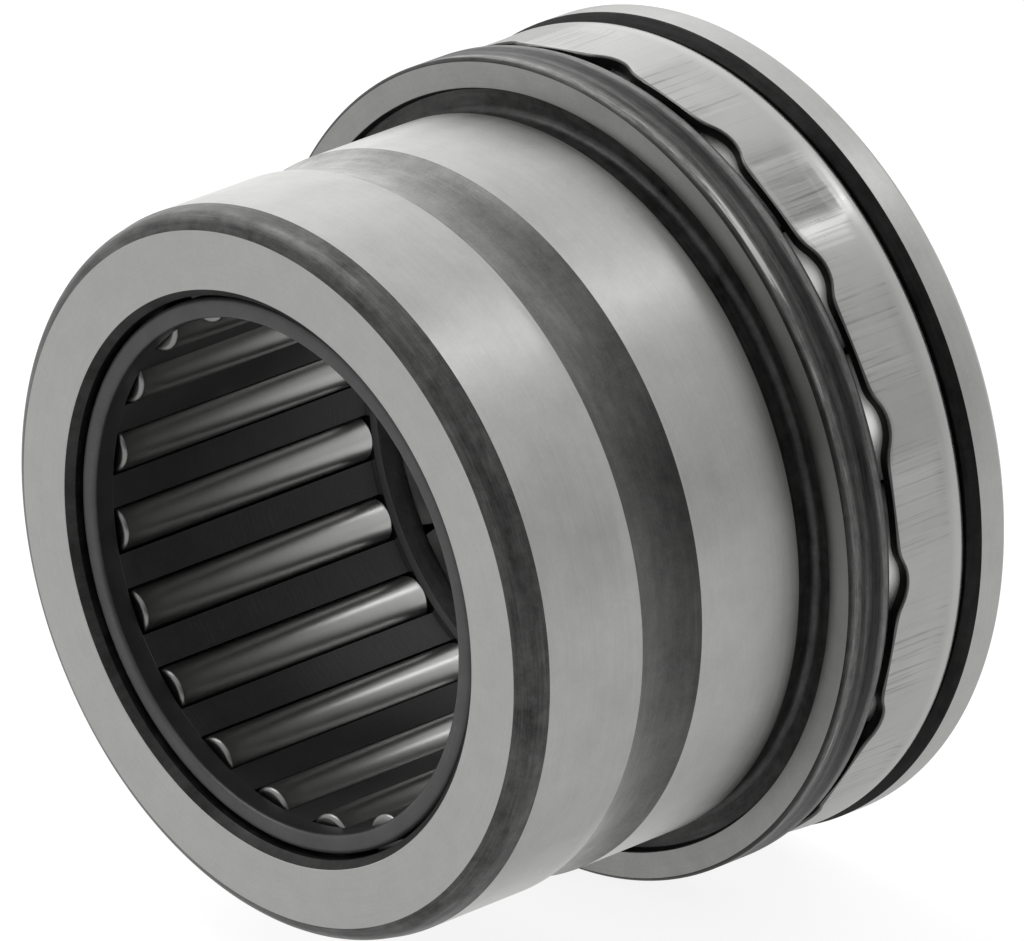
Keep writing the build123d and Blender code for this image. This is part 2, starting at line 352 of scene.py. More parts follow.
# --------------------------------------------------------------- node helpers
class Value:
    """A shader output that can be calculated with; each operation adds a node."""

    def __init__(self, net, socket):
        self.net = net
        self.socket = socket

    def __add__(self, other):
        return self.net.math("ADD", self, other)

    def __radd__(self, other):
        return self.net.math("ADD", other, self)

    def __sub__(self, other):
        return self.net.math("SUBTRACT", self, other)

    def __mul__(self, other):
        return self.net.math("MULTIPLY", self, other)

    def __rmul__(self, other):
        return self.net.math("MULTIPLY", other, self)

    def __truediv__(self, other):
        return self.net.math("DIVIDE", self, other)

    def clamped(self):
        """Limits the math node that made this value to 0 to 1."""
        self.socket.node.use_clamp = True
        return self

    def swing(self, amount):
        """A 0 to 1 noise turned into a change of plus or minus half the amount."""
        return (self - 0.5) * amount

    def remap(self, start, end, low, high, smooth=False):
        """start to end becomes low to high, and stays level beyond."""
        inputs = dict(enumerate((self, start, end, low, high)))
        kind = "SMOOTHSTEP" if smooth else "LINEAR"
        return self.net.value("ShaderNodeMapRange", inputs, interpolation_type=kind)

    def rise(self, start, end):
        return self.remap(start, end, 0.0, 1.0, smooth=True)

    def fall(self, start, end):
        return self.remap(start, end, 1.0, 0.0, smooth=True)

    def ramp(self, stops):
        """stops are (place from 0 to 1, grey)."""
        node = self.net.node("ShaderNodeValToRGB", {0: self})
        elements = node.color_ramp.elements
        elements.remove(elements[-1])
        for i, (place, grey) in enumerate(stops):
            element = elements.new(place) if i else elements[0]
            element.position = place
            element.color = (grey, grey, grey, 1.0)
        return Value(self.net, node.outputs[0])

    def lookup(self, stops):
        """Like ramp, with the places in the value's own unit."""
        start, end = stops[0][0], stops[-1][0]
        scaled = [((place - start) / (end - start), grey) for place, grey in stops]
        return self.remap(start, end, 0.0, 1.0).ramp(scaled)


class Net:
    """Builds a node tree from empty."""

    def __init__(self, tree):
        self.tree = tree
        tree.nodes.clear()

    def put(self, socket, value):
        if isinstance(value, Value):
            self.tree.links.new(value.socket, socket)
        else:
            socket.default_value = value

    def node(self, kind, inputs=None, **settings):
        node = self.tree.nodes.new(kind)
        for key, setting in settings.items():
            setattr(node, key, setting)
        for key, value in (inputs or {}).items():
            self.put(node.inputs[key], value)
        return node

    def value(self, kind, inputs=None, output=0, **settings):
        return Value(self, self.node(kind, inputs, **settings).outputs[output])

    def math(self, operation, *operands):
        return self.value("ShaderNodeMath", dict(enumerate(operands)), operation=operation)

    def vector(self, x, y, z):
        return self.value("ShaderNodeCombineXYZ", {0: x, 1: y, 2: z})

    def mix(self, factor, a, b):
        return self.value("ShaderNodeMix", {0: factor, 2: a, 3: b}, data_type="FLOAT")

    def noise(self, vector, scale=1.0, detail=3.0, rough=0.5, seed=None):
        inputs = {"Vector": vector, "Scale": scale, "Detail": detail, "Roughness": rough}
        dimensions = "3D"
        if seed is not None:
            inputs["W"] = seed
            dimensions = "4D"
        return self.value("ShaderNodeTexNoise", inputs, "Fac", noise_dimensions=dimensions)

    def bump(self, height, strength, distance, under=None):
        """distance is in metres."""
        inputs = {"Height": height, "Strength": strength, "Distance": distance}
        if under is not None:
            inputs["Normal"] = under
        return self.value("ShaderNodeBump", inputs)

    def emission(self, strength):
        return self.value("ShaderNodeEmission", {0: (1, 1, 1, 1), 1: strength})

    def mix_shader(self, factor, a, b):
        return self.value("ShaderNodeMixShader", {0: factor, 1: a, 2: b})


class Metal(Net):
    """A material on a body about Y, with its coordinates in millimetres."""

    def __init__(self, name, seed):
        self.material = bpy.data.materials.new(name)
        self.material.use_nodes = True
        super().__init__(self.material.node_tree)
        self.seed = seed
        place = self.value("ShaderNodeTexCoord", output="Object")
        split = self.node("ShaderNodeSeparateXYZ", {0: place})
        self.x, self.y, self.z = (Value(self, out) * 1000.0 for out in split.outputs)
        self.position = self.vector(self.x, self.y, self.z)

    # coordinates that only some materials need
    @cached_property
    def radius(self):
        return self.math("SQRT", self.x * self.x + self.z * self.z)

    @cached_property
    def cos(self):
        return self.x / self.radius

    @cached_property
    def sin(self):
        return self.z / self.radius

    @cached_property
    def angle(self):
        """Degrees round the axis, 0 to 360, from +X towards +Z."""
        angle = self.math("ARCTAN2", self.sin, self.cos) * (180.0 / math.pi)
        return angle + self.math("LESS_THAN", angle, 0.0) * 360.0

    @cached_property
    def from_front(self):
        """Distance behind the front face."""
        return self.y + -FRONT

    @cached_property
    def sweep(self):
        """Runs along cylinders and outwards on end faces."""
        return self.y + self.radius

    def spots(self, scale, shift, detail=3.0, rough=0.5):
        """Noise that is alike in all directions; shift is added to the seed."""
        return self.noise(self.position, scale, detail, rough, self.seed + shift)

    def bands(self, station, around, along, shift, detail=3.0, rough=0.5):
        """Noise with one scale round the axis and another along the station value."""
        place = self.vector(self.cos * around, station * along, self.sin * around)
        return self.noise(place, 1.0, detail, rough, self.seed + shift)

    def paint_grazing_sheen(self, grey, stops):
        """Painted sheen: multiplies grey by a factor that grows at flat viewing angles."""
        top = 5.0                       # keeps the ramp's greys below 1
        facing = self.value("ShaderNodeLayerWeight", {"Blend": 0.5}, "Facing")
        factor = facing.ramp([(place, k / top) for place, k in stops]) * top
        return (grey * factor).clamped()

    def finish(self, grey, rough, normal=None, blue=None, metallic=1.0, specular=0.5,
               extra=None):
        """Ends the material; blue scales the blue channel of the grey."""
        inputs = {
            "Base Color": self.vector(grey, grey, grey * blue if blue else grey),
            "Metallic": metallic, "Roughness": rough, "Specular IOR Level": specular,
            **(extra or {})}
        if normal is not None:
            inputs["Normal"] = normal
        shader = self.value("ShaderNodeBsdfPrincipled", inputs)
        self.node("ShaderNodeOutputMaterial", {0: shader})
        return self.material


# ------------------------------------------------------------------ materials
# Painted sheen, a gain in tone at flat viewing angles: (1 - cosine, factor)
PAINTED_SHEEN_DULL = [
    (0.0, 0.75), (0.15, 0.80), (0.25, 0.88), (0.34, 1.02), (0.46, 1.38), (0.56, 1.65),
    (0.64, 1.95), (0.71, 2.30), (0.79, 2.95), (0.87, 3.7), (1.0, 4.2)]
PAINTED_SHEEN_SOFT = [(0.0, 0.92), (0.34, 0.96), (0.60, 1.20), (0.80, 1.80), (1.0, 2.6)]
PAINTED_SHEEN_BRIGHT = [(0.0, 1.0), (0.68, 1.0), (0.79, 1.22), (0.87, 1.48), (1.0, 1.75)]

# Grey of the flange rim, with painted highlight lines near 19.3 and 21.3: (millimetres behind
# the front face, grey)
RIM_GREYS = [
    (18.90, 0.07), (18.98, 0.035), (19.08, 0.045), (19.20, 0.12), (19.32, 0.17),
    (19.50, 0.165), (19.64, 0.12), (19.78, 0.060), (19.95, 0.055), (20.15, 0.085),
    (20.30, 0.055), (20.48, 0.028), (20.90, 0.030), (21.02, 0.055), (21.14, 0.12),
    (21.30, 0.17), (21.42, 0.16), (21.55, 0.05), (21.90, 0.03)]

# Painted highlight lines along the crease beside the darkened flat of the thrust cage:
# (degrees, level; 0.5 is neutral)
CREASE_HIGHLIGHT_LEVELS = [
    (44.0, 0.5), (46.04, 0.5), (46.52, 0.72), (47.0, 0.50), (47.6, 0.92),
    (48.08, 0.62), (48.56, 0.86), (49.16, 0.55), (50.0, 0.5)]

NEUTRAL_BLUE = 0.982
DARK_BLUE = 0.985


def ground_metal(name, seed, tone, rough=0.34, streak=1.0, cloudy=0.16, sheen_stops=None):
    """Ground surface: fine lines run round the axis, with cloudy tone and roughness."""
    m = Metal(name, seed)
    coarse = m.bands(m.sweep, around=1.6, along=9.0, shift=0.0, detail=4.0, rough=0.65)
    fine = m.bands(m.sweep, around=7.0, along=34.0, shift=3.1, rough=0.6)
    cloud = m.spots(scale=0.22, shift=7.7, detail=5.0, rough=0.6)
    patch = m.spots(scale=0.9, shift=9.3)
    speck = m.spots(scale=5.0, shift=11.0, detail=2.0)
    change = (coarse.swing(0.10 * streak) + fine.swing(0.11 * streak)
              + cloud.swing(cloudy) + patch.swing(0.08) + speck.swing(0.07))
    grey = (change + tone).clamped()
    # painted sheen: lighter at flat viewing angles
    if sheen_stops:
        grey = m.paint_grazing_sheen(grey, sheen_stops)
    roughness = (rough + (coarse.swing(0.12) + cloud.swing(0.18))).clamped()
    normal = m.bump(fine * 0.6 + coarse * 0.4, strength=0.20 * streak, distance=0.00004)
    normal = m.bump(speck, strength=0.12, distance=0.00003, under=normal)
    tangent = m.value("ShaderNodeTangent", direction_type="RADIAL", axis="Y")
    return m.finish(grey, roughness, normal, blue=NEUTRAL_BLUE,
                    extra={"Anisotropic": 0.30, "Tangent": tangent})


def dark_metal(name, seed, tone, rough=0.42, scuff=0.5, lines=0.6, mottle=1.0, top=0.0,
               light=3.0, sheen_stops=None):
    """Dark mottled surface with turning lines.  scuff is the amount of brighter rubs and
    light their gain over tone; top is painted light that lightens the side that faces up."""
    m = Metal(name, seed)
    turning = m.bands(m.sweep, around=2.4, along=6.5, shift=0.0, detail=5.0, rough=0.7)
    broad = m.bands(m.sweep, around=9.0, along=1.7, shift=1.3, detail=4.0, rough=0.6)
    cloud = m.spots(scale=0.35, shift=2.0, detail=5.0, rough=0.65)
    blotch = m.spots(scale=1.6, shift=5.0, detail=4.0, rough=0.6)
    grain = m.spots(scale=8.0, shift=9.0, detail=2.0)
    change = (turning.swing(1.3 * lines) + blotch.swing(1.3 * mottle)
              + broad.swing(1.5 * mottle) + cloud.swing(1.0) + grain.swing(0.45))
    grey = m.math("MAXIMUM", (1.0 + change) * tone, tone * 0.30)
    rub_and_glint = (turning * 0.45 + broad * 0.55).remap(0.54, 0.68, 0.0, scuff, smooth=True)
    grey = m.mix(rub_and_glint, grey, tone * light)
    # painted light: the side that faces up is lighter
    if top:
        grey = grey * (m.z / m.radius).remap(0.45, 0.80, 1.0, 1.0 + top, smooth=True)
    # painted sheen: lighter at flat viewing angles
    if sheen_stops:
        grey = m.paint_grazing_sheen(grey, sheen_stops)
    roughness = (rough + blotch.swing(0.30)).clamped()
    normal = m.bump(turning * 0.6 + blotch * 0.4, strength=0.30, distance=0.00006)
    normal = m.bump(grain, strength=0.15, distance=0.00003, under=normal)
    return m.finish(grey, roughness, normal, blue=DARK_BLUE, metallic=0.9)


def rim_metal(name, seed):
    """Turned flange rim: a painted highlight strip beside the seat, a dark band, a painted
    highlight line.
    """
    m = Metal(name, seed)
    wobble = m.bands(0.0, around=3.0, along=1.0, shift=0.0)
    place = m.from_front + wobble.swing(0.16)
    grey = place.lookup(RIM_GREYS)
    lines = m.bands(m.y + m.radius * 0.6, around=5.5, along=6.5, shift=2.0,
                    detail=5.0, rough=0.66)
    short = m.bands(m.y, around=22.0, along=5.0, shift=4.0, detail=4.0, rough=0.65)
    blotch = m.spots(scale=1.7, shift=6.0, detail=4.0, rough=0.6)
    grain = m.spots(scale=8.0, shift=8.0, detail=2.0)
    change = 1.0 + (lines.swing(2.4)
                    + (short.swing(1.3) + (blotch.swing(0.8) + grain.swing(0.4))))
    grey = grey * m.math("MAXIMUM", change, 0.35)
    # painted highlight: bright streaks along the turning lines inside the strip next to the
    # seat, more of them near 52 degrees
    highlight_strip = place.rise(19.20, 19.30) * place.fall(19.50, 19.64)
    near = m.angle.rise(38.0, 48.0) * m.angle.fall(56.0, 66.0)
    rub_and_glint = (lines + near * 0.22).rise(0.55, 0.68) * highlight_strip
    grey = m.mix(rub_and_glint * 0.8, grey, 0.50)
    # painted light: lighter towards the top
    grey = grey * (m.z / m.radius).remap(0.55, 0.98, 1.10, 1.42, smooth=True)
    roughness = (0.40 + blotch.swing(0.25)).clamped()
    normal = m.bump(lines * 0.7 + short * 0.3, strength=0.40, distance=0.00006)
    return m.finish(grey, roughness, normal, blue=DARK_BLUE, metallic=0.95)


def sheet_metal(name, seed, tone, rough):
    """Drawn sheet: marks run along the axis on the rim, strongest between the balls;
    the bend behind them is smooth, with a painted highlight that lightens it."""
    m = Metal(name, seed)
    angle, depth = m.angle, m.from_front
    phase = m.math("FRACT", (angle + (360.0 - BALL_PHASE)) / BALL_STEP)
    from_crest = m.math("ABSOLUTE", phase - 0.5) * BALL_STEP
    crest = from_crest.fall(5.5, 8.5)
    rim = depth.fall(25.75, 26.05)
    outside = m.math("GREATER_THAN", m.radius, 19.4)
    # the angle again, with its jump moved to 200 degrees, low on the -X side
    turned = m.math("FRACT", (angle + 160.0) / 360.0) * 360.0
    wide = m.noise(m.vector(turned * 0.80, m.y * 0.05, 0.0), rough=0.6, seed=seed)
    fine = m.noise(m.vector(turned * 1.55, m.y * 0.10, 3.0), rough=0.6, seed=seed + 4.0)
    patch = m.bands(m.y, around=5.0, along=0.35, shift=6.0)
    cloud = m.spots(scale=0.45, shift=8.0, detail=4.0, rough=0.6)
    amount = (0.22 + crest * 0.78) * patch.remap(0.34, 0.60, 0.35, 1.15, smooth=True)
    amount = amount * (0.06 + rim * 0.94)
    # thin dark draw lines among the softer streaks
    line = fine.remap(0.36, 0.50, -1.0, 0.0, smooth=True)
    grey = (wide.swing(0.20) + line * 0.14) * amount + cloud.swing(0.12) + tone
    # painted highlight: the bend behind the rim is lighter
    grey = grey + depth.remap(25.9, 26.4, 0.0, 0.07, smooth=True)
    # painted reflection: one pressed flat is darkened, as if it mirrors something dark
    flat = angle.rise(49.2, 52.0) * angle.fall(57.5, 66.5) * depth.fall(25.0, 26.1)
    flat = flat * depth.remap(22.5, 23.0, 0.5, 1.0, smooth=True)
    painted_dark_reflection = angle.remap(50.0, 63.0, 0.40, 0.52) + (wide.swing(0.30) + line * 0.10)
    grey = grey * m.mix(flat, 1.0, m.math("MAXIMUM", painted_dark_reflection, 0.20))
    # painted highlight: a bright crease runs beside it
    crease_highlight = (angle.lookup(CREASE_HIGHLIGHT_LEVELS) - 0.5) * depth.fall(25.2, 25.9)
    grey = (grey * (1.0 + crease_highlight * 1.1)).clamped()
    # painted shade: on the web's back face, inside radius 19.4 and close to the washer, a
    # flat dark grey
    grey = m.mix(outside, 0.16, grey)
    roughness = (rough + (wide.swing(0.14) + cloud.swing(0.14))).clamped()
    height = (wide * 0.6 + fine * 0.4) * amount
    normal = m.bump(height, strength=0.30, distance=0.00008)
    return m.finish(grey, roughness, normal, blue=NEUTRAL_BLUE)


def black_metal(name, seed, tone, rough):
    """Satin black surface, slightly uneven, with a few rubbed spots."""
    m = Metal(name, seed)
    cloud = m.spots(scale=0.5, shift=0.0, detail=5.0, rough=0.6)
    grain = m.spots(scale=8.0, shift=3.0, rough=0.55)
    turning = m.bands(m.sweep, around=3.0, along=8.0, shift=5.0, detail=4.0, rough=0.6)
    grey = tone * (1.0 + (cloud.swing(0.9) + grain.swing(0.5)))
    rub_and_glint = (cloud * turning).remap(0.34, 0.44, 0.0, 0.25, smooth=True)
    grey = m.mix(rub_and_glint, grey, tone * 3.0)
    roughness = (rough + (grain.swing(0.2) + cloud.swing(0.2))).clamped()
    normal = m.bump(turning, strength=0.18, distance=0.00004)
    normal = m.bump(grain, strength=0.25, distance=0.00003, under=normal)
    return m.finish(grey, roughness, normal, metallic=0.35, specular=0.6)


def rolling_metal(name, seed, tone, rough, along=None, across=None, metallic=1.0):
    """Lapped needle or ball.  along grades the tone with y and across with the radius, as
    painted light and shade: (start, end, factor at start, factor at end)."""
    m = Metal(name, seed)
    cloud = m.spots(scale=0.5, shift=0.0)
    band = m.noise(m.vector(m.x * 0.3, m.y * 3.0, m.z * 0.3), detail=2.0, seed=seed + 2.0)
    grey = (tone + (cloud.swing(0.10) + band.swing(0.06))).clamped()
    if along:
        grey = (grey * m.y.remap(*along, smooth=True)).clamped()
    if across:
        grey = (grey * m.radius.remap(*across, smooth=True)).clamped()
    roughness = (rough + (band.swing(0.05) + cloud.swing(0.06))).clamped()
    return m.finish(grey, roughness, blue=NEUTRAL_BLUE, metallic=metallic)


# painted sheen: ground steel, nose and groove get lighter at flat viewing angles
GROUND = ground_metal("ground_steel", seed=0.0, tone=0.56, cloudy=0.24, sheen_stops=PAINTED_SHEEN_BRIGHT)
FACE = ground_metal("ground_face", seed=20.0, tone=0.57, rough=0.40, streak=0.7,
                    cloudy=0.08)
# painted shade: a darker copy of the ground face, for the shade of the cylinder beside the
# seat
SEAT = ground_metal("seat_face", seed=33.0, tone=0.405, streak=0.8)
WASHER_RIM = ground_metal("washer_steel", seed=41.0, tone=0.56)
NOSE = dark_metal("nose_dark", seed=2.0, tone=0.104, rough=0.40, scuff=0.45, lines=1.0,
                  mottle=0.95, light=2.0, sheen_stops=PAINTED_SHEEN_SOFT)
# painted light: top lightens the upper side of the groove
GROOVE = dark_metal("groove_dark", seed=13.0, tone=0.115, rough=0.38, scuff=0.15,
                    lines=0.35, mottle=0.40, top=0.42, light=1.8, sheen_stops=PAINTED_SHEEN_DULL)
# painted shade: the undercut recess is near black
UNDERCUT = dark_metal("undercut_dark", seed=17.0, tone=0.085, rough=0.45, scuff=0.1)
FLANGE_RIM = rim_metal("flange_rim", seed=23.0)
# painted shade: the bores are near black
BORE = dark_metal("bore_dark", seed=27.0, tone=0.045, rough=0.45, scuff=0.2)
EDGE = ground_metal("edge_bright", seed=51.0, tone=0.50, rough=0.30)
BLACK = black_metal("cage_black", seed=0.0, tone=0.034, rough=0.40)
# painted light: a lighter copy of the cage black on the lit front ring
CAGE_FRONT = black_metal("cage_ring_face", seed=4.0, tone=0.085, rough=0.40)
LIP = dark_metal("sheet_lip", seed=71.0, tone=0.16, scuff=0.1, mottle=0.5)
# painted shade: the thrust cage's inner rim is near black
INNER_RIM = dark_metal("inner_rim", seed=75.0, tone=0.050, rough=0.5, scuff=0.1,
                       mottle=0.6)
SHEET_METAL = sheet_metal("sheet_steel", seed=0.0, tone=0.55, rough=0.30)
# painted shade: near black on the sheet edges, inside the thrust cage and on the washer face
# under the cage
PAINTED_SHADE = dark_metal("painted_shade_dark", seed=61.0, tone=0.022, rough=0.5, scuff=0.1)
# painted light and shade: needles darker at the front, lighter towards the back
NEEDLE = rolling_metal("needle_steel", seed=1.0, tone=0.60, rough=0.31,
                       along=(-13.0, 3.0, 0.55, 1.12))
# painted shade: balls darker on the side that faces the axis
BALL = rolling_metal("ball_steel", seed=9.0, tone=0.80, rough=0.60, metallic=0.20,
                     across=(14.6, 15.8, 0.34, 1.0))


# --------------------------------------------------------------------- pieces
def build_outer_ring():
    line = Outline()
    # front face, nose and outside with its groove
    line.corner(FACE_IN_R, FRONT, 0.10, "face")
    line.corner(FACE_OUT_R, FRONT, 0.04, "nose")
    line.curve(arc((FACE_OUT_R + 0.30, FRONT + 0.16), (RING_R - 0.27, FRONT + 0.50),
                   (RING_R - 0.10, FRONT + 0.98), 8), "nose")
    line.corner(RING_R, FRONT + 1.47, 0.12, "ground", "nose")
    line.curve(arc((RING_R, GROOVE_Y0), (GROOVE_FLOOR_R, GROOVE_MID_Y),
                   (RING_R, GROOVE_Y1), 28)[:-1], "groove")
    line.corner(RING_R, GROOVE_Y1, 0.05, "ground", "groove")
    # undercut, which bites into both the cylinder and the seat
    floor_r = RING_R - UNDERCUT_DEPTH
    undercut_y1 = SEAT_Y + 0.46
    line.corner(RING_R, UNDERCUT_Y0, 0.10, "under")
    line.corner(floor_r, UNDERCUT_Y0 + 0.42, 0.08, "under")
    line.curve(arc((floor_r, SEAT_Y + 0.02), (floor_r + 0.13, SEAT_Y + 0.33),
                   (floor_r + 0.42, undercut_y1), 6), "under")
    line.corner(UNDERCUT_OUT_R - 0.10, undercut_y1, 0.05, "under")
    line.corner(UNDERCUT_OUT_R, SEAT_Y, 0.06, "seat", "under")
    # flange
    flange_bevel = 0.16
    line.corner(FLANGE_R - flange_bevel, SEAT_Y, 0.06, "rim")
    line.corner(FLANGE_R, SEAT_Y + flange_bevel, 0.06, "rim")
    line.corner(FLANGE_R, FLANGE_BACK_Y, 0.50, "race", "rim", steps=10)
    # ball track in the back of the flange
    half = math.sqrt(TRACK_R ** 2 - (BALL_Y - FLANGE_BACK_Y) ** 2)
    outer, inner = (BALL_PITCH_R + half, FLANGE_BACK_Y), (BALL_PITCH_R - half, FLANGE_BACK_Y)
    line.corner(*outer, 0.06, "race")
    line.curve(arc(outer, (BALL_PITCH_R, BALL_Y - TRACK_R), inner, 20)[1:-1], "race")
    line.corner(*inner, 0.06, "race")
    # bore: the needle race lies between two ribs
    bore_bevel, race_bevel = 0.45, 0.25
    line.corner(RIB_R + bore_bevel, FLANGE_BACK_Y, 0.05, "bore")
    line.corner(RIB_R, FLANGE_BACK_Y - bore_bevel, 0.05, "bore")
    line.corner(RIB_R, RACE_Y1, 0.05, "bore")
    line.corner(RACE_R - race_bevel, RACE_Y1, 0.0, "bore")
    line.corner(RACE_R, RACE_Y1 - race_bevel, 0.0, "race")
    line.corner(RACE_R, RACE_Y0 + race_bevel, 0.0, "bore")
    line.corner(RACE_R - race_bevel, RACE_Y0, 0.0, "bore")
    line.corner(RIB_R, RACE_Y0, 0.05, "bore")
    line.corner(RIB_R, FRONT + 0.40, 0.05, "bore")
    ring = lathe("ring_body", line, {
        "ground": GROUND, "face": FACE, "nose": NOSE, "groove": GROOVE, "under": UNDERCUT,
        "rim": FLANGE_RIM, "seat": SEAT, "race": GROUND, "bore": BORE}, segments=360)
    # hole of radius 1, flared to 1.5 where it meets the groove floor
    cut(ring, hole_tool(HOLE_ANGLE, GROOVE_MID_Y, [
        (13.8, 1.0), (GROOVE_FLOOR_R - 0.42, 1.0),
        (GROOVE_FLOOR_R + 0.05, 1.50), (19.5, 1.50)], NOSE))
    sharpen(ring, 28)
    stand_in(ring, "outer_ring")


def build_shaft_washer():
    half = math.sqrt(TRACK_R ** 2 - (WASHER_Y0 - BALL_Y) ** 2)
    inner, outer = (BALL_PITCH_R - half, WASHER_Y0), (BALL_PITCH_R + half, WASHER_Y0)
    bore_bevel, front_bevel, back_bevel = 0.55, 0.50, 0.60
    line = Outline()
    line.corner(WASHER_IN_R + bore_bevel, WASHER_Y0, 0.05, "race")
    line.corner(*inner, 0.06, "race")
    line.curve(arc(inner, (BALL_PITCH_R, BALL_Y + TRACK_R), outer, 20)[1:-1], "race")
    line.corner(*outer, 0.06, "race")
    line.corner(WASHER_OUT_R - 1.10, WASHER_Y0, 0.0, "dark")
    line.corner(WASHER_OUT_R - front_bevel, WASHER_Y0, 0.10, "dark")
    line.corner(WASHER_OUT_R, WASHER_Y0 + front_bevel, 0.12, "rim", "dark")
    line.corner(WASHER_OUT_R, BACK - back_bevel, 0.20, "edge", "rim")
    line.corner(WASHER_OUT_R - back_bevel, BACK, 0.20, "face")
    line.corner(WASHER_IN_R + bore_bevel, BACK, 0.10, "bevel", "face")
    line.corner(WASHER_IN_R, BACK - bore_bevel, 0.08, "bore", "bevel")
    line.corner(WASHER_IN_R, WASHER_Y0 + bore_bevel, 0.08, "bevel")
    washer = lathe("washer_body", line, {
        "race": GROUND, "dark": PAINTED_SHADE, "rim": WASHER_RIM, "edge": EDGE, "face": FACE,
        "bevel": NOSE, "bore": BORE}, segments=360)
    sharpen(washer, 28)
    stand_in(washer, "shaft_washer")


def build_needle_cage(centres):
    slope = 0.12                    # length of the step between end ring and relief
    line = Outline()
    line.corner(NCAGE_IN_R, NCAGE_Y0, 0.20, "front", steps=5)
    line.corner(NCAGE_OUT_R, NCAGE_Y0, 0.32, "black", "front", steps=6)
    line.corner(NCAGE_OUT_R, NCAGE_Y1, 0.22, "black")
    line.corner(NCAGE_IN_R, NCAGE_Y1, 0.18, "black")
    line.corner(NCAGE_IN_R, POCKET_Y1, 0.05, "black")
    line.corner(NCAGE_RELIEF_R, POCKET_Y1 - slope, 0.05, "black")
    line.corner(NCAGE_RELIEF_R, POCKET_Y0 + slope, 0.05, "black")
    line.corner(NCAGE_IN_R, POCKET_Y0, 0.05, "black")
    cage = lathe("needle_cage_body", line, {"black": BLACK, "front": CAGE_FRONT},
                 segments=400, step=0.9)
    cut(cage, rod_tool(NEEDLE_R + POCKET_PLAY, POCKET_Y0, POCKET_Y1, centres, BLACK))
    sharpen(cage, 30)
    stand_in(cage, "needle_cage")


def needle_outline():
    """(radius, y) from the centre of the front end to the centre of the back end."""
    e = NEEDLE_ROUND
    quarter = [math.pi / 2 * k / 6 for k in range(7)]
    length = NEEDLE_Y1 - NEEDLE_Y0 - 2 * e
    return (
        [(0.0, NEEDLE_Y0), (NEEDLE_FLAT_R, NEEDLE_Y0)]
        + [(NEEDLE_R - e + e * math.sin(a), NEEDLE_Y0 + e - e * math.cos(a)) for a in quarter]
        + [(NEEDLE_R, NEEDLE_Y0 + e + length * k / 12) for k in range(1, 12)]
        + [(NEEDLE_R - e + e * math.cos(a), NEEDLE_Y1 - e + e * math.sin(a)) for a in quarter]
        + [(NEEDLE_FLAT_R, NEEDLE_Y1), (0.0, NEEDLE_Y1)])


def build_needle(number, cx, cz, outline, sides=72):
    bm = bmesh.new()
    rows = []
    for r, y in outline:
        points = circle(cx, y, cz, r, sides) if r else [(cx, y, cz)]
        rows.append([bm.verts.new((px * MM, py * MM, pz * MM)) for px, py, pz in points])
    for a, b in zip(rows, rows[1:]):
        for t in range(sides):
            u = (t + 1) % sides
            if len(a) == 1:
                bm.faces.new((a[0], b[t], b[u]))
            elif len(b) == 1:
                bm.faces.new((a[t], b[0], a[u]))
            else:
                bm.faces.new((a[t], b[t], b[u], a[u]))
    bmesh.ops.recalc_face_normals(bm, faces=bm.faces)
    needle = bmesh_object("roller_%02d" % number, bm, NEEDLE, smooth=True)
    sharpen(needle, 50)
    stand_in(needle, "needle_%02d" % number)


def wave(distance):
    """Height of the wavy rim edge at a distance round the rim from a ball."""
    u = np.abs(distance)
    radii = WAVE_VALLEY_R + WAVE_CREST_R
    half = math.sqrt(2 * WAVE_DEPTH * radii - WAVE_DEPTH ** 2)
    turn = half * WAVE_VALLEY_R / radii         # where the two arcs meet
    height = np.zeros_like(u)
    near = u <= turn
    height[near] = WAVE_DEPTH - WAVE_VALLEY_R + np.sqrt(WAVE_VALLEY_R ** 2 - u[near] ** 2)
    far = (u > turn) & (u < half)
    height[far] = WAVE_CREST_R - np.sqrt(WAVE_CREST_R ** 2 - (half - u[far]) ** 2)
    return height


def warp_rim(T, R, Y):
    """Waves the front edge of the outer rim and presses flats between the balls."""
    degrees = np.degrees(T)
    from_ball = (degrees - BALL_PHASE + BALL_STEP / 2) % BALL_STEP - BALL_STEP / 2
    from_flat = (degrees - BALL_PHASE) % BALL_STEP - BALL_STEP / 2
    height = wave(TCAGE_OUT_R * np.radians(from_ball))
    fade = np.clip((TCAGE_OUT_Y0 + WAVE_REACH - Y) / WAVE_REACH, 0, 1)
    waved = np.where(R > 19.5, Y + height * fade, Y)        # the outer rim only
    chord = TCAGE_OUT_R * math.cos(math.radians(CRIMP_HALF_ANGLE))
    flat_r = chord / np.cos(np.radians(from_flat))
    press = np.clip((CRIMP_Y1 - Y) / CRIMP_RUNOUT, 0, 1)
    drop = np.clip(TCAGE_OUT_R - flat_r, 0, None) * press
    # only the outermost skin of the rim is pressed
    return np.where(R > TCAGE_OUT_R - 0.12, R - drop, R), waved


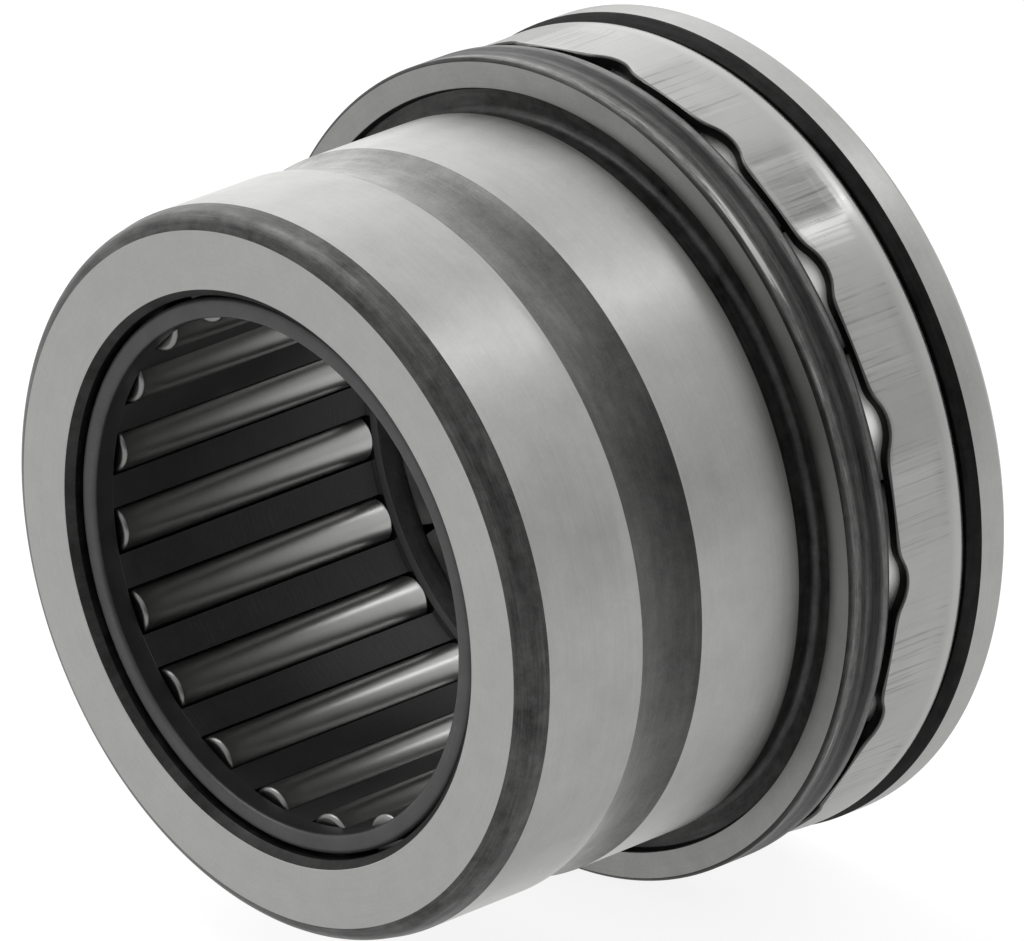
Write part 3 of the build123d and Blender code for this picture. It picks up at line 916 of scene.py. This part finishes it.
def build_thrust_cage(centres):
    """U-shaped sheet channel, open to the front."""
    inside_bend = BEND_R - SHEET
    inner_wall_r = TCAGE_IN_R + SHEET - 0.05
    outer_wall_r = TCAGE_OUT_R - SHEET
    web_y = TCAGE_Y1 - SHEET
    line = Outline()
    line.corner(TCAGE_OUT_R, TCAGE_OUT_Y0, 0.12, "sheet", "lip", steps=3)
    line.corner(TCAGE_OUT_R, TCAGE_Y1, BEND_R, "sheet", steps=8)
    line.corner(TCAGE_IN_R, TCAGE_Y1, BEND_R, "inner", steps=8)
    line.corner(TCAGE_IN_R, TCAGE_IN_Y0, 0.08, "shear", steps=3)
    line.corner(inner_wall_r, TCAGE_IN_Y0, 0.08, "inside", steps=3)
    line.corner(inner_wall_r, web_y, inside_bend, "inside", steps=3)
    line.corner(outer_wall_r, web_y, inside_bend, "inside", steps=3)
    line.corner(outer_wall_r, TCAGE_OUT_Y0, 0.06, "shear", steps=3)
    cage = lathe("thrust_cage_body", line, {
        "sheet": SHEET_METAL, "shear": PAINTED_SHADE, "inside": PAINTED_SHADE, "lip": LIP,
        "inner": INNER_RIM}, segments=480, step=0.35, warp=warp_rim)
    cut(cage, ball_tool(BALL_R + BALL_PLAY, BALL_Y, centres, PAINTED_SHADE))
    sharpen(cage, 32)
    stand_in(cage, "thrust_cage")


def build_ball(number, x, z):
    bm = bmesh.new()
    add_sphere(bm, BALL_R, x, BALL_Y, z, segments=64, rings=36)
    ball = bmesh_object("bead_%02d" % number, bm, BALL, smooth=True)
    stand_in(ball, "ball_%02d" % number)
    return ball


needle_centres = pitch_circle(NEEDLES, NEEDLE_PITCH_R, NEEDLE_PHASE)
ball_centres = pitch_circle(BALLS, BALL_PITCH_R, BALL_PHASE)

build_outer_ring()
build_shaft_washer()
build_needle_cage(needle_centres)
needle_line = needle_outline()
for number, (x, z) in enumerate(needle_centres, 1):
    build_needle(number, x, z, needle_line)
build_thrust_cage(ball_centres)
balls = [build_ball(number, x, z) for number, (x, z) in enumerate(ball_centres, 1)]

# ---------------------------------------------------------------------- floor
FLOOR_Z = -(FLANGE_R + 0.02) * MM
FLOOR_SIZE = 6.0                    # metres
FLOOR_CELLS = 8
FLOOR_LIFT = 0.72                   # share of plain glow seen by the camera
FLOOR_GLOW = 1.20
FLOOR_MIRROR_SHARE = 0.85           # share of plain glow seen in reflections
FLOOR_MIRROR_GLOW = 0.61


def floor_material():
    material = bpy.data.materials.new("floor_pale")
    material.use_nodes = True
    net = Net(material.node_tree)
    place = net.value("ShaderNodeTexCoord", output="Object")
    grey = net.noise(place, scale=30.0).remap(0.3, 0.7, 0.90, 0.93)
    paint = net.value("ShaderNodeBsdfDiffuse", {0: net.vector(grey, grey, grey)})
    path = net.node("ShaderNodeLightPath")
    from_camera = Value(net, path.outputs["Is Camera Ray"])
    from_mirror = Value(net, path.outputs["Is Glossy Ray"])
    seen = net.mix_shader(from_camera * FLOOR_LIFT, paint, net.emission(FLOOR_GLOW))
    shader = net.mix_shader(from_mirror * FLOOR_MIRROR_SHARE, seen,
                            net.emission(FLOOR_MIRROR_GLOW))
    net.node("ShaderNodeOutputMaterial", {0: shader})
    return material


def build_floor():
    mesh = bpy.data.meshes.new("floor")
    k, row = FLOOR_CELLS, FLOOR_CELLS + 1
    verts = [((i / k - 0.5) * FLOOR_SIZE, (j / k - 0.5) * FLOOR_SIZE, FLOOR_Z)
             for j in range(row) for i in range(row)]
    faces = [(j * row + i, j * row + i + 1, (j + 1) * row + i + 1, (j + 1) * row + i)
             for j in range(k) for i in range(k)]
    mesh.from_pydata(verts, [], faces)
    mesh.materials.append(floor_material())
    add_object("floor", mesh)


build_floor()

# ---------------------------------------------------------------------- light
# A soft room, brightest towards -X and dim on the opposite side
BRIGHT_SIDE = Vector((-0.85, 0.40, 0.35)).normalized()
# (cosine of the angle from the bright side, brightness)
ROOM_LEVELS = [
    (-1.0, 0.14), (-0.66, 0.18), (-0.40, 0.50), (0.02, 0.58), (0.48, 0.70),
    (0.86, 0.84), (0.95, 1.10), (1.0, 1.25)]
# Small soft box, mirrored by the ground cylinder
BOX_SIDE = Vector((0.2055, 0.6251, 0.7540)).normalized()
BOX_COSINES = (0.9945, 0.9994)      # outer edge and full strength
BOX_POWER = 3.2


def build_world():
    world = bpy.data.worlds.new("studio")
    bpy.context.scene.world = world
    world.use_nodes = True
    net = Net(world.node_tree)
    direction = net.value("ShaderNodeTexCoord", output="Generated")

    def cosine_to(side):
        return net.value("ShaderNodeVectorMath", {0: direction, 1: side}, "Value",
                         operation="DOT_PRODUCT")

    room = cosine_to(BRIGHT_SIDE).lookup(ROOM_LEVELS)
    box = cosine_to(BOX_SIDE).remap(*BOX_COSINES, 0.0, BOX_POWER, smooth=True)
    sky = net.value("ShaderNodeBackground", {0: room + box, 1: 1.0})
    net.node("ShaderNodeOutputWorld", {0: sky})


def area_light(name, place, width, height, power):
    """Rectangular light aimed at the origin; metres and watts."""
    light = bpy.data.lights.new(name, "AREA")
    light.shape = "RECTANGLE"
    light.size = width
    light.size_y = height
    light.energy = power
    ob = add_object(name, light)
    ob.location = place
    ob.rotation_mode = "QUATERNION"
    ob.rotation_quaternion = (-Vector(place)).to_track_quat("-Z", "Y")
    return ob


build_world()
area_light("key", (-0.45, -0.10, 0.75), width=0.6, height=0.6, power=2.5)
# reaches the balls alone, through the gap between flange and cage
fill = area_light("ball_fill", (0.56, -0.17, 0.20), width=0.70, height=0.40, power=3.0)
lit = bpy.data.collections.new("balls_lit")
for ball in balls:
    lit.objects.link(ball)
fill.light_linking.receiver_collection = lit

# --------------------------------------------------------------------- camera
CAMERA_PLACE = Vector((500.8, -467.87, 303.5))
CAMERA_RIGHT = Vector((0.6835, 0.7299, 0.0))
CAMERA_FORWARD = Vector((-0.6675, 0.6251, -0.4047))
SLIDE_RIGHT = 0.154                 # centres the bearing in the frame
SLIDE_UP = 0.990
LENS = 539.6664
SENSOR_WIDTH = 36.0


def build_camera():
    right = CAMERA_RIGHT.normalized()
    forward = CAMERA_FORWARD.normalized()
    up = right.cross(forward).normalized()
    right = forward.cross(up).normalized()
    camera = bpy.data.cameras.new("cam")
    camera.lens = LENS
    camera.sensor_width = SENSOR_WIDTH
    camera.clip_start = 0.05
    camera.clip_end = 20.0
    ob = add_object("cam", camera)
    pose = Matrix((right, up, -forward)).transposed().to_4x4()
    pose.translation = (CAMERA_PLACE + right * SLIDE_RIGHT + up * SLIDE_UP) * MM
    ob.matrix_world = pose
    bpy.context.scene.camera = ob


build_camera()
view = bpy.context.scene.view_settings
view.view_transform = "Standard"
view.look = "None"
